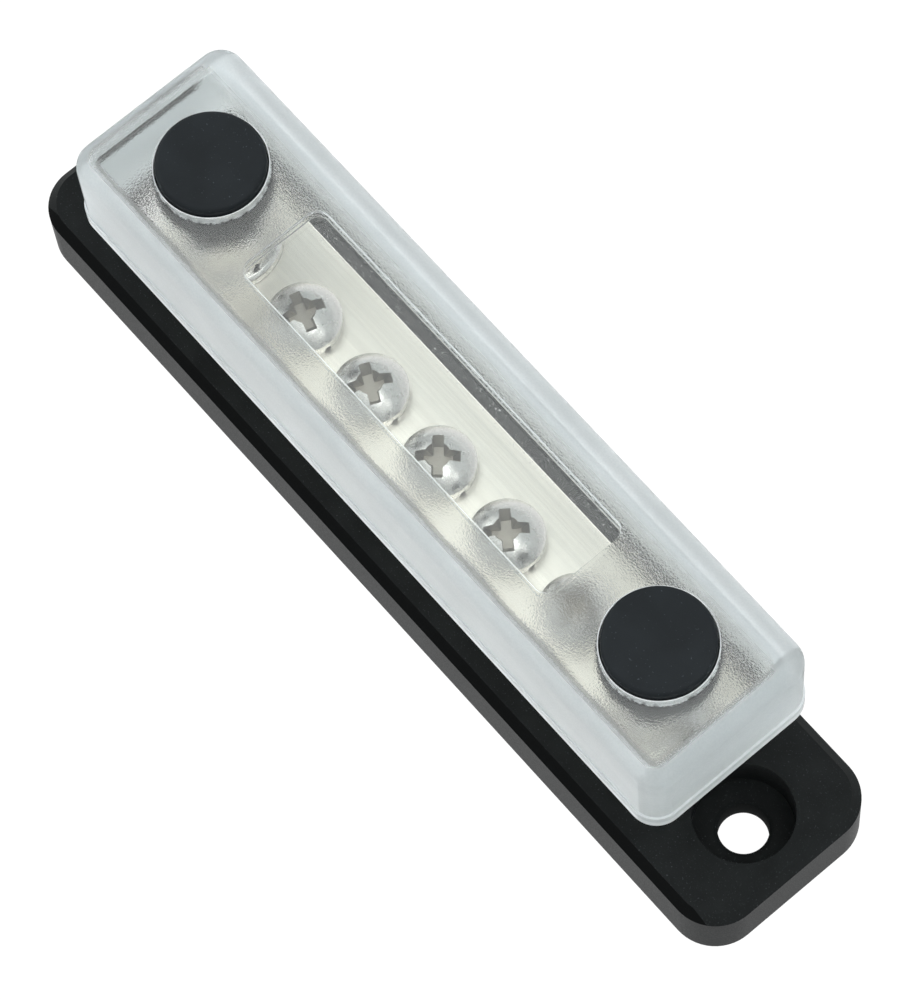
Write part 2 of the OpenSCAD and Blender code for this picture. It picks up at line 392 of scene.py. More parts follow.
def weld(piece):
    """Merges doubled vertices and turns all faces outwards."""
    with editing(piece):
        bpy.ops.mesh.select_all(action="SELECT")
        bpy.ops.mesh.remove_doubles(threshold=WELD)
        bpy.ops.mesh.normals_make_consistent(inside=False)


def turned(name, section):
    """A turned piece on the Z axis: its half section, as radii and levels, is drawn and spun."""
    piece = draw_line(name, section)
    with editing(piece):
        bpy.ops.mesh.select_all(action="SELECT")
        bpy.ops.mesh.spin(steps=TURN_STEPS, angle=FULL_TURN, center=(0, 0, 0), axis=(0, 0, 1))
    weld(piece)
    return piece


def threaded_rod(name, diameter, pitch, low, high):
    """A right-hand threaded rod on the Z axis."""
    crest = diameter / 2
    root = crest - THREAD_DEPTH * pitch
    bottom = low - pitch
    corners = [
        (crest if part in THREAD_CRESTS else root, bottom + part * pitch) for part in THREAD_CORNERS
    ]
    piece = draw_line(name, corners)
    helix = piece.modifiers.new("helix", "SCREW")
    helix.screw_offset = pitch
    helix.iterations = math.ceil((high - low) / pitch) + 2
    helix.steps = helix.render_steps = THREAD_STEPS
    helix.use_merge_vertices = True
    helix.merge_threshold = WELD
    bpy.ops.object.modifier_apply(modifier=helix.name)
    weld(piece)
    for level, normal in ((low, -1), (high, 1)):
        with editing(piece):
            bpy.ops.mesh.select_all(action="SELECT")
            bpy.ops.mesh.bisect(
                plane_co=(0, 0, level),
                plane_no=(0, 0, normal),
                use_fill=True,
                clear_outer=True,
                threshold=WELD,
            )
    weld(piece)
    return piece


# Shaping


def upright_edge(edge):
    """True for an edge that runs along Z."""
    return (edge.verts[0].co - edge.verts[1].co).to_2d().length < WELD


def round_corners(piece, radius):
    """Rounds the upright corners of a block."""
    with editing(piece, "EDGE"):
        choose(piece, "edges", upright_edge)
        bpy.ops.mesh.bevel(offset=radius, segments=CORNER_STEPS, affect="EDGES")


def chamfer_face(piece, direction, width, steps=1):
    """Chamfers or rounds the edges round a block's top or bottom face."""
    with editing(piece, "FACE"):
        choose(piece, "faces", lambda face: face.normal.z * direction > FACING)
        bpy.ops.mesh.bevel(offset=width, segments=steps, affect="EDGES")


def round_over(radius):
    """Rounds the edge round the selected face by insets that follow a quarter circle."""
    for step in range(EDGE_STEPS):
        start = QUARTER_TURN * step / EDGE_STEPS
        end = QUARTER_TURN * (step + 1) / EDGE_STEPS
        bpy.ops.mesh.inset(
            thickness=radius * (math.cos(start) - math.cos(end)),
            depth=radius * (math.sin(end) - math.sin(start)),
        )


def combine(piece, other, operation="DIFFERENCE"):
    """Cuts another shape out of a piece, or keeps what they share. The other shape goes."""
    make_active(piece)
    boolean = piece.modifiers.new(operation.lower(), "BOOLEAN")
    boolean.operation = operation
    boolean.solver = "EXACT"
    boolean.object = other
    bpy.ops.object.modifier_apply(modifier=boolean.name)
    bpy.data.objects.remove(other)


def clean(piece):
    """Takes out the slivers that a cut or a rounded edge leaves."""
    with editing(piece):
        bpy.ops.mesh.select_all(action="SELECT")
        bpy.ops.mesh.dissolve_degenerate(threshold=SLIVER)


def cut_end(thread, radius, level, direction, chamfer):
    """Chamfers one end of a thread with a cutter that stands clear of its crests and its end."""
    ends = sorted((level + direction * MARGIN, level - direction * CUTTER_LENGTH))
    envelope = rod("envelope", 0, radius + MARGIN, *ends)
    chamfer_face(envelope, direction, chamfer + 2 * MARGIN)
    combine(thread, envelope, "INTERSECT")
    clean(thread)


def join(piece, other):
    """Makes another closed shape part of a piece, which keeps its name."""
    make_active(piece)
    other.select_set(True)
    bpy.ops.object.join()


def soften(piece, width):
    """Rounds every sharp edge a little, so that it catches the light, and shades the piece."""
    make_active(piece)
    edges = piece.modifiers.new("soft_edges", "BEVEL")
    edges.width = width
    edges.segments = SOFT_EDGE_STEPS
    edges.limit_method = "ANGLE"
    edges.angle_limit = SMOOTH_ANGLE
    bpy.ops.object.modifier_apply(modifier=edges.name)
    clean(piece)
    shade(piece)


def shade(piece):
    """Smooth shading that keeps flat faces flat."""
    make_active(piece)
    bpy.ops.object.shade_smooth_by_angle(angle=SMOOTH_ANGLE)
    even = piece.modifiers.new("even_normals", "WEIGHTED_NORMAL")
    even.keep_sharp = True
    bpy.ops.object.modifier_apply(modifier=even.name)


def copy_of(master, name, x, turn=0.0):
    """A copy with its own mesh, turned about the Z axis and moved along the bar."""
    make_active(master)
    bpy.ops.object.duplicate(linked=False)
    bpy.context.object.location.x = x
    bpy.context.object.rotation_euler.z = turn
    return keep_as(name)


def dress(piece, finish, slot, body, *nodes):
    """Gives a finished piece its place in the frame, and its material if it has none yet."""
    if finish:
        piece.data.materials.clear()
        piece.data.materials.append(finish)
    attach(piece, body)
    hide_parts(*nodes)


def middle_x(node):
    """Where along the bar a node of the frame stands."""
    low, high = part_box(node)
    return (low.x + high.x) / 2


# Finishes

# Grains are in cycles to the metre, heights are in metres and stretches are along X, Y and Z.
# Noise runs from nought to one and lies mostly in this middle part.
NOISE_MIDDLE = (0.3, 0.7)

# Moulded plastic
CLOUD_GRAIN = 260
CLOUD_TONES = (0.85, 1.15)
SPECK_FADE = 0.12
GLOSS_CHANGE = 0.06
GRAIN_HEIGHT = 0.00002
# Share of the base's black left on its front chamfer: painted shade
CHAMFER_PAINTED_SHADE = 0.3
CHAMFER_ROUGHNESS = 0.75
BASE_SHINE = 0.04
CAP_SHINE = 0.12

# Tin plate
BRUSH_GRAIN = 3000
BRUSH_STRETCH = (0.008, 1, 1)
BRUSH_SPAN = (0.35, 0.65)
BRUSH_AMOUNT = 0.8
BRUSH_TONE = 0.89
BRUSH_HEIGHT = 0.00002
SCRATCH_GRAIN = 900
SCRATCH_STRETCH = (0.05, 1, 1)
STAIN_GRAIN = 95
STAIN_SPAN = (0.52, 0.75)
STAIN_AMOUNT = 0.7
TIN_ROUGHNESS = (0.34, 0.46)

# Plated steel
SCUFF_GRAIN = 1500
SCUFF_SPAN = (0.45, 0.75)
SCUFF_AMOUNT = 0.25
SCUFF_ROUGHNESS = 0.05
SCUFF_HEIGHT = 0.000001
STEEL_ROUGHNESS = 0.24
RECESS_ROUGHNESS = 0.4

# Cover plastic
STIPPLE_GRAIN = 5000
STIPPLE_SPAN = (0.35, 0.65)
STIPPLE_TINT = 0.4
STIPPLE_HEIGHT = 0.00004
WALL_STIPPLE = 0.3
STREAK_GRAIN = 420
STREAK_STRETCH = (0.35, 0.35, 1)
STREAK_SPAN = (0.35, 0.7)
STREAK_AMOUNT = 0.35
DUST_GRAIN = 6000
DUST_SPAN = (0.65, 0.7)
DUST_START = 0.7
DUST_FADE = 0.2
# How much of the painted foot highlight lies over the lip step, lightening the shade there
STEP_PAINTED_LIGHT = 0.4
# Strength of the painted shade line round the cavity's top
LINE_PAINTED_SHADE = 0.5
# Strength of the painted shade along the window's far end
SILL_PAINTED_SHADE = 0.7
WALL_CLEARNESS = 0.65
WALL_ROUGHNESS = 0.4
PLASTIC_IOR = 1.49
# The cover's zones in the order that they are laid over its walls: colour, clearness and roughness
COVER_LAYERS = (
    # Painted highlight along the cover's bottom edge and lip step
    ("painted_foot_light", "foot", None, None),
    ("end_skin", None, 0.85, 0.7),
    ("lining", "lining", 0.85, 0.5),
    ("end_lining", "end_lining", 0.92, 1.0),
    ("step", None, 0.5, None),
    ("frosted", "frost", 0.97, 0.05),
    ("border", "milk", 0.4, None),
    # Painted highlight: the cap holes' walls are near-white and almost opaque
    ("painted_hole_highlight", "foot", 0.12, None),
    ("clear", "clear", 0.98, 0.0),
    ("dust", None, 0.6, None),
    # Painted shade along the cavity's top edges and the window's far end
    ("painted_shade_zone", "painted_edge_shade", 0.04, None),
)


class Finish:
    """A material in the making: a Principled shader and the nodes that feed it."""

    def __init__(self, name):
        self.material = bpy.data.materials.new(name)
        self.material.use_nodes = True
        self.tree = self.material.node_tree
        self.shader = self.tree.nodes["Principled BSDF"]
        self.place = self.tree.nodes.new("ShaderNodeTexCoord").outputs["Object"]

    def put(self, socket, value):
        """Sets a socket to a value, or links it to another socket."""
        if isinstance(value, bpy.types.NodeSocket):
            self.tree.links.new(value, socket)
        else:
            socket.default_value = value

    def node(self, kind, inputs, **settings):
        """A node with its settings, and with its inputs by name or number."""
        made = self.tree.nodes.new(kind)
        for name, value in settings.items():
            setattr(made, name, value)
        for name, value in inputs.items():
            self.put(made.inputs[name], value)
        return made

    def set(self, **inputs):
        """Sets inputs of the shader, with underscores for spaces."""
        for name, value in inputs.items():
            self.put(self.shader.inputs[name.replace("_", " ")], value)

    def axis(self, name):
        """One of the Object coordinates."""
        return self.node("ShaderNodeSeparateXYZ", {0: self.place}).outputs[name]

    def noise(self, grain, detail, stretch=(1, 1, 1)):
        """Noise on Object coordinates."""
        place = self.node("ShaderNodeMapping", {"Vector": self.place, "Scale": stretch}).outputs[0]
        noise = self.node("ShaderNodeTexNoise", {"Vector": place, "Scale": grain, "Detail": detail})
        return noise.outputs["Fac"]

    def spread(self, value, from_low, from_high, to_low=0.0, to_high=1.0, smooth=False):
        """A value mapped from one range to another and held inside it."""
        ends = {"From Min": from_low, "From Max": from_high, "To Min": to_low, "To Max": to_high}
        kind = "SMOOTHSTEP" if smooth else "LINEAR"
        made = self.node("ShaderNodeMapRange", {"Value": value, **ends}, interpolation_type=kind)
        return made.outputs["Result"]

    def math(self, operation, first, second=0.0):
        """A sum on two values."""
        return self.node("ShaderNodeMath", {0: first, 1: second}, operation=operation).outputs[0]

    def distance(self, x, y):
        """How far in plan a point lies from another, by its two offsets."""
        spot = self.node("ShaderNodeCombineXYZ", {"X": x, "Y": y}).outputs[0]
        return self.node("ShaderNodeVectorMath", {0: spot}, operation="LENGTH").outputs["Value"]

    def under(self, value, limit, fade):
        """A zone where a value is under its limit, with a fade just before the limit."""
        return self.spread(value, limit - fade, limit, 1.0, 0.0)

    def both(self, zone, *others):
        """What a zone shares with all the others. A number in place of a zone weakens it."""
        for other in others:
            zone = self.math("MULTIPLY", zone, other)
        return zone

    def either(self, zone, other):
        """What is in the one zone or in the other."""
        return self.math("MAXIMUM", zone, other)

    def opposite(self, zone):
        """What is outside a zone."""
        return self.spread(zone, 0.0, 1.0, 1.0, 0.0)

    def mix(self, zone, value, other):
        """A value that gives way to another in a zone."""
        return self.node("ShaderNodeMix", {"Factor": zone, 2: value, 3: other}).outputs[0]

    def blend(self, zone, colour, other):
        """A colour that gives way to another in a zone."""
        made = self.node("ShaderNodeMix", {"Factor": zone}, data_type="RGBA")
        for number, part in ((6, colour), (7, other)):
            linked = isinstance(part, bpy.types.NodeSocket)
            self.put(made.inputs[number], part if linked else (*part, 1))
        return made.outputs[2]

    def bump(self, pattern, height, strength):
        """A normal that follows a pattern of the given height."""
        inputs = {"Height": pattern, "Distance": height, "Strength": strength}
        return self.node("ShaderNodeBump", inputs).outputs["Normal"]


def speckle(made, black, speck, grain, amount, roughness):
    """Colour, roughness and normal of black moulded plastic with small pale specks."""
    fine = made.noise(grain, detail=3)
    specks = made.spread(fine, 1 - amount, 1 - amount + SPECK_FADE)
    tone = made.spread(made.noise(CLOUD_GRAIN, detail=2), *NOISE_MIDDLE, *CLOUD_TONES)
    flat = {0: made.blend(specks, black, speck), "Scale": tone}
    tint = made.node("ShaderNodeVectorMath", flat, operation="SCALE").outputs[0]
    satin = made.spread(fine, *NOISE_MIDDLE, roughness - GLOSS_CHANGE, roughness + GLOSS_CHANGE)
    return tint, satin, made.bump(fine, GRAIN_HEIGHT, strength=0.5)


def base_plastic(colours, sizes, mount_x, hole):
    """Plastic of the base, with painted shade on its front chamfer, which is also rougher, and dull
    in its two mounting holes.
    """
    made = Finish("black_moulding")
    tint, satin, normal = speckle(
        made, colours.base_black, colours.base_speck, grain=5200, amount=0.37, roughness=0.4
    )
    low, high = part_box("base")
    x, y, z = (made.axis(name) for name in "XYZ")
    shade_painted_chamfer = made.both(
        made.math("GREATER_THAN", z, high.z - sizes.chamfer),
        made.math("LESS_THAN", z, high.z - sizes.edge_round / 4),
        made.math("LESS_THAN", y, low.y + sizes.chamfer + sizes.edge_round),
    )
    # Painted shade: the front chamfer is darkened to a share of the base's black
    tint = made.blend(shade_painted_chamfer, tint, [CHAMFER_PAINTED_SHADE * part for part in colours.base_black])
    beside = made.math("SUBTRACT", made.math("ABSOLUTE", x), mount_x)
    dull = made.under(made.distance(beside, y), hole + WELD, WELD)
    dull = made.either(dull, made.both(shade_painted_chamfer, CHAMFER_ROUGHNESS))
    made.set(
        Base_Color=tint,
        Roughness=made.either(satin, dull),
        Specular_IOR_Level=BASE_SHINE,
        Normal=normal,
    )
    return made.material


def cap_plastic(colours):
    """Plastic of the caps."""
    made = Finish("black_cap")
    tint, satin, normal = speckle(
        made, colours.cap_black, colours.cap_speck, grain=4200, amount=0.33, roughness=0.5
    )
    made.set(Base_Color=tint, Roughness=satin, Specular_IOR_Level=CAP_SHINE, Normal=normal)
    return made.material


def tinned_metal(colours):
    """Tin plate brushed along the bar, with faint stains."""
    made = Finish("tinned_bar")
    brush = made.noise(BRUSH_GRAIN, detail=3, stretch=BRUSH_STRETCH)
    scratch = made.noise(SCRATCH_GRAIN, detail=1, stretch=SCRATCH_STRETCH)
    stain = made.spread(made.noise(STAIN_GRAIN, detail=3), *STAIN_SPAN, 0.0, STAIN_AMOUNT)
    lines = made.spread(brush, *BRUSH_SPAN, 0.0, BRUSH_AMOUNT)
    worn = made.blend(stain, colours.tin, colours.tin_stain)
    made.set(
        Base_Color=made.blend(lines, worn, [BRUSH_TONE * part for part in colours.tin]),
        Metallic=1.0,
        Roughness=made.spread(scratch, *NOISE_MIDDLE, *TIN_ROUGHNESS),
        Normal=made.bump(brush, BRUSH_HEIGHT, strength=0.8),
    )
    return made.material


def plated_metal(name, bright, scuffed, smooth):
    """Plated metal with small scuffs, from its bright colour, its scuffed one and its roughness."""
    made = Finish(name)
    scuff = made.noise(SCUFF_GRAIN, detail=3)
    made.set(
        Base_Color=made.blend(made.spread(scuff, *SCUFF_SPAN, 0.0, SCUFF_AMOUNT), bright, scuffed),
        Metallic=1.0,
        Roughness=made.spread(scuff, *NOISE_MIDDLE, smooth, smooth + SCUFF_ROUGHNESS),
        Normal=made.bump(scuff, SCUFF_HEIGHT, strength=0.5),
    )
    return made.material


def bright_steel(name, colours):
    """Bright plated steel."""
    return plated_metal(name, colours.steel, colours.steel_scuff, STEEL_ROUGHNESS)


def cover_zones(made, sizes, cap_x, hole):
    """Zones of the cover by place, some of them for painted highlights and painted shade."""
    both, either, opposite = made.both, made.either, made.opposite
    x, y, z = (made.axis(name) for name in "XYZ")
    along, aside = made.math("ABSOLUTE", x), made.math("ABSOLUTE", y)
    low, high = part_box("cover")
    soft = sizes.edge_round

    def inside(half_x, half_y, radius, fade=soft):
        over_x = made.math("MAXIMUM", made.math("SUBTRACT", along, half_x - radius), 0.0)
        over_y = made.math("MAXIMUM", made.math("SUBTRACT", aside, half_y - radius), 0.0)
        past = made.distance(over_x, over_y)
        return made.spread(past, radius - fade, radius, 1.0, 0.0, smooth=True)

    def under(value, limit, fade=soft):
        return made.under(value, limit, fade)

    def over(value, limit, fade=soft):
        return opposite(under(value, limit, fade))

    # Walls and top
    ceiling = high.z - sizes.top
    inner_x = high.x - sizes.lip_step - sizes.end_wall
    inner_y = high.y - sizes.lip_step - sizes.side_wall
    inner_r = sizes.corner_radius - sizes.side_wall
    roof = over(z, ceiling - soft)
    cavity = inside(inner_x + soft, inner_y + soft, inner_r + soft)
    lining = both(cavity, opposite(roof))
    reach = sizes.frost_reach
    front = under(y, inner_y - sizes.back_fade / 2, sizes.back_fade)
    top = inside(inner_x + reach, inner_y + reach, inner_r + reach, sizes.frost_fade)
    from_cap = made.distance(made.math("SUBTRACT", along, cap_x), y)
    lip = low.z + sizes.lip_height
    step = both(under(z, lip + 3 * soft), over(z, lip - 2 * soft))
    # Band along the bottom edge where a highlight is painted
    foot = under(z, low.z + sizes.lip_height / 2)

    # Window, with a border along its sides and painted shade along its far end
    half_x, half_y = sizes.window_length / 2, sizes.window_width / 2
    rim, radius = sizes.window_border, sizes.window_radius
    clear = both(roof, inside(half_x + soft, half_y + soft, radius))
    border = both(roof, inside(half_x, half_y + rim, radius), opposite(clear))
    # Painted shade: a dark line along the window's far end
    painted_sill_shade = both(roof, inside(half_x + rim, half_y, radius), opposite(clear), under(x, 0.0))
    specks = made.spread(made.noise(DUST_GRAIN, detail=1), *DUST_SPAN)
    dust = both(clear, specks, over(z, high.z - sizes.window_depth - soft))

    # Painted shade: a dark line round the cavity's top at its front and near end, and a dark band
    # inside its far end wall where the dark base shows reflected
    at_end = over(along, inner_x - sizes.edge_line)
    line = inside(inner_x - sizes.edge_line, inner_y - sizes.edge_line, inner_r)
    line = both(opposite(line), over(z, ceiling - sizes.inner_round - soft))
    line = both(line, either(under(y, 0.0), over(x, 0.0)))
    # Painted shade band at the top of the far end wall's inside
    end = both(at_end, over(z, ceiling - sizes.end_shade), under(x, 0.0))
    end = both(end, under(y, sizes.end_shade_reach, sizes.end_shade))
    # All the painted shade inside the cavity
    edge = both(either(both(line, LINE_PAINTED_SHADE), end), cavity, under(z, ceiling + 2 * soft))
    return {
        "painted_foot_light": either(foot, both(step, STEP_PAINTED_LIGHT)),
        "end_skin": over(along, inner_x),
        "lining": lining,
        "end_lining": both(lining, at_end),
        "step": step,
        "frosted": both(roof, front, top),
        "border": border,
        "painted_hole_highlight": under(from_cap, hole + sizes.hole_chamfer + soft),
        "clear": clear,
        "dust": both(dust, over(y, half_y * DUST_START, half_y * DUST_FADE)),
        "painted_shade_zone": either(edge, both(painted_sill_shade, SILL_PAINTED_SHADE)),
    }


def frosted_plastic(colours, sizes, cap_x, hole):
    """Cover plastic in zones: milky walls, a frosted see-through top and a clear window, with
    painted highlights along its foot and round its cap holes, and painted shade along its cavity's
    top edges and the window's far end.
    """
    made = Finish("frosted_cover")
    zones = cover_zones(made, sizes, cap_x, hole)
    stipple = made.noise(STIPPLE_GRAIN, detail=2)
    grain = made.spread(stipple, *STIPPLE_SPAN, 0.0, STIPPLE_TINT)
    streaks = made.noise(STREAK_GRAIN, detail=3, stretch=STREAK_STRETCH)
    streaks = made.spread(streaks, *STREAK_SPAN, 0.0, STREAK_AMOUNT)
    tint = made.blend(streaks, colours.milk, colours.foot)
    tint = made.blend(grain, tint, colours.milk_grain)
    clearness, roughness = WALL_CLEARNESS, WALL_ROUGHNESS
    for name, zone_colour, zone_clearness, zone_roughness in COVER_LAYERS:
        zone = zones[name]
        if zone_colour:
            tint = made.blend(zone, tint, getattr(colours, zone_colour))
        if zone_clearness is not None:
            clearness = made.mix(zone, clearness, zone_clearness)
        if zone_roughness is not None:
            roughness = made.mix(zone, roughness, zone_roughness)
    rise = made.both(
        stipple, made.mix(zones["frosted"], WALL_STIPPLE, 1.0), made.opposite(zones["clear"])
    )
    made.set(
        Base_Color=tint,
        Roughness=roughness,
        Transmission_Weight=clearness,
        IOR=PLASTIC_IOR,
        Normal=made.bump(rise, STIPPLE_HEIGHT, strength=0.9),
    )
    return made.material


# Pieces


class PieceOperator:
    """What all the modelling operators share"""

    bl_options = {"REGISTER", "UNDO"}


class BUSBAR_OT_base(PieceOperator, Operator):
    """Model the moulded base with its counterbored mounting holes"""

    bl_idname = "busbar.model_base"
    bl_label = "Model Base"

    def execute(self, context):
        settings = context.scene.busbar
        sizes, stud, screw = settings.base, settings.stud, settings.screw
        low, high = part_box("base")
        piece = block("base_moulding", low, high)
        round_corners(piece, sizes.corner_radius)
        chamfer_face(piece, 1, sizes.chamfer)
        mount = next(m for m in frame["record"]["mounts"] if m["kind"] == "bolt_pattern")
        mount_x = mount["dims"]["spacing_x_mm"] / 2 * MILLIMETRE
        hole = mount["dims"]["hole_r_mm"] * MILLIMETRE
        mouth = hole + sizes.hole_break
        counterbore = sizes.counterbore_diameter / 2
        floor = sizes.counterbore_floor
        for x in (-mount_x, mount_x):
            combine(piece, rod("hole", x, hole, -MARGIN, floor + MARGIN))
            combine(piece, rod("counterbore", x, counterbore, floor, high.z + MARGIN))
            half = sizes.hole_break / 2
            combine(piece, rod("hole_break", x, hole, floor - half, floor + half, mouth))
        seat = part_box("stud_left")[0].z + stud.head_height
        stud_hole = stud.diameter / 2 + stud.play
        for side in SIDES:
            x = middle_x(f"stud_{side}")
            combine(piece, hex_rod("pocket", x, stud.hex_width + stud.play, -MARGIN, seat))
            combine(piece, rod("stud_hole", x, stud_hole, -MARGIN, high.z + MARGIN))
        for number in SCREW_NUMBERS:
            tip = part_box(f"screw_{number}")[0].z - screw.tip_play
            x = middle_x(f"screw_{number}")
            combine(piece, rod("tip_hole", x, screw.diameter / 2 + stud.play, tip, high.z + MARGIN))
        soften(piece, sizes.edge_round)
        plastic = base_plastic(settings.finish, sizes, mount_x, mouth)
        dress(piece, plastic, "base_plastic", "base", "base")
        return {"FINISHED"}


class BUSBAR_OT_bar(PieceOperator, Operator):
    """Model the tin-plated bar with its stud holes and tapped holes"""

    bl_idname = "busbar.model_bar"
    bl_label = "Model Bar"

    def execute(self, context):
        settings = context.scene.busbar
        sizes, stud, screw = settings.bar, settings.stud, settings.screw
        low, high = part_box("busbar")
        piece = block("tinned_bar", low, high)
        round_corners(piece, sizes.corner_radius)
        holes = [(middle_x(f"stud_{side}"), stud.diameter / 2 + stud.play) for side in SIDES]
        for number in SCREW_NUMBERS:
            holes.append((middle_x(f"screw_{number}"), screw.diameter / 2 + stud.thread_play))
        for x, radius in holes:
            combine(piece, rod("hole", x, radius, low.z - MARGIN, high.z + MARGIN))
        soften(piece, sizes.edge_round)
        dress(piece, tinned_metal(settings.finish), "tinned_bar", "base", "busbar")
        return {"FINISHED"}


def split_washer(name, outer, bore, low, high, stud):
    """A spring washer on the Z axis with a slanted split on its +X side."""
    section = ((bore, low), (outer, low), (outer, high), (bore, high), (bore, low))
    ring = turned(name, section)
    middle = (low + high) / 2
    gap = block("gap", (0, -stud.split / 2, low - outer), (2 * outer, stud.split / 2, high + outer))
    with editing(gap):
        bpy.ops.mesh.select_all(action="SELECT")
        bpy.ops.transform.rotate(
            value=stud.split_slant, orient_axis="X", center_override=(0, 0, middle)
        )
    combine(ring, gap)
    soften(ring, stud.edge_round)
    return ring


class BUSBAR_OT_studs(PieceOperator, Operator):
    """Model the threaded studs with their hexagonal heads"""

    bl_idname = "busbar.model_studs"
    bl_label = "Model Studs"

    def execute(self, context):
        settings = context.scene.busbar
        sizes = settings.stud
        low, high = (corner.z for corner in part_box("stud_left"))
        seat = low + sizes.head_height
        master = hex_rod("stud_master", 0, sizes.hex_width, low, seat)
        soften(master, sizes.edge_round)
        thread = threaded_rod("thread", sizes.diameter, sizes.pitch, seat - MARGIN / 2, high)
        cut_end(thread, sizes.diameter / 2, high, 1, sizes.end_chamfer)
        shade(thread)
        join(master, thread)
        steel = bright_steel("stud_steel", settings.finish)
        for side in SIDES:
            piece = copy_of(master, f"stud_bolt_{side}", middle_x(f"stud_{side}"))
            dress(piece, steel, "plated_steel", "base", f"stud_{side}")
        bpy.data.objects.remove(master)
        return {"FINISHED"}


class BUSBAR_OT_washers(PieceOperator, Operator):
    """Model the flat washers and the spring washers of studs and screws"""

    bl_idname = "busbar.model_washers"
    bl_label = "Model Washers"

    def execute(self, context):
        settings = context.scene.busbar
        sizes, screw = settings.stud, settings.screw
        steel = bright_steel("washer_steel", settings.finish)
        low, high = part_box("stud_washer_left")
        outer, bore = (high.x - low.x) / 2, sizes.diameter / 2 + sizes.play
        section = (
            (bore, low.z),
            (outer, low.z),
            (outer, high.z - sizes.end_chamfer),
            (outer - sizes.end_chamfer, high.z),
            (bore, high.z),
            (bore, low.z),
        )
        flat = turned("flat_master", section)
        soften(flat, sizes.edge_round)
        low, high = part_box("stud_lock_washer_left")
        spring = split_washer("spring_master", (high.y - low.y) / 2, bore, low.z, high.z, sizes)
        for side in SIDES:
            x = middle_x(f"stud_{side}")
            piece = copy_of(flat, f"flat_washer_{side}", x)
            dress(piece, steel, "plated_steel", "base", f"stud_washer_{side}")
            node = f"stud_lock_washer_{side}"
            dress(copy_of(spring, f"spring_washer_{side}", x), steel, "plated_steel", node, node)
        low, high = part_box("screw_lock_washer_1")
        bore = screw.diameter / 2 + sizes.play
        small = split_washer("small_master", (high.y - low.y) / 2, bore, low.z, high.z, sizes)
        for number in SCREW_NUMBERS:
            node = f"screw_lock_washer_{number}"
            piece = copy_of(small, f"small_spring_washer_{number}", middle_x(f"screw_{number}"))
            dress(piece, steel, "plated_steel", node, node)
        for master in (flat, spring, small):
            bpy.data.objects.remove(master)
        return {"FINISHED"}


class BUSBAR_OT_nuts(PieceOperator, Operator):
    """Model the hexagonal nuts of the studs"""

    bl_idname = "busbar.model_nuts"
    bl_label = "Model Nuts"

    def execute(self, context):
        settings = context.scene.busbar
        sizes = settings.stud
        low, high = (corner.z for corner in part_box("nut_left"))
        middle = (low + high) / 2
        master = hex_rod("nut_master", 0, sizes.hex_width, low, high)
        inner = sizes.hex_width / 2
        outer = inner + (middle - low) / math.tan(sizes.nut_slope)
        barrel = ((0, low), (inner, low), (outer, middle), (inner, high), (0, high))
        combine(master, turned("barrel", barrel), "INTERSECT")
        bore = sizes.diameter / 2 + sizes.thread_play
        mouth = bore + sizes.end_chamfer
        drill = turned(
            "drill",
            (
                (0, low - MARGIN),
                (mouth + MARGIN, low - MARGIN),
                (bore, low + sizes.end_chamfer),
                (bore, high - sizes.end_chamfer),
                (mouth + MARGIN, high + MARGIN),
                (0, high + MARGIN),
            ),
        )
        combine(master, drill)
        soften(master, sizes.edge_round)
        steel = bright_steel("nut_steel", settings.finish)
        for side in SIDES:
            node = f"nut_{side}"
            piece = copy_of(master, f"hex_nut_{side}", middle_x(node))
            dress(piece, steel, "plated_steel", node, node)
        bpy.data.objects.remove(master)
        return {"FINISHED"}


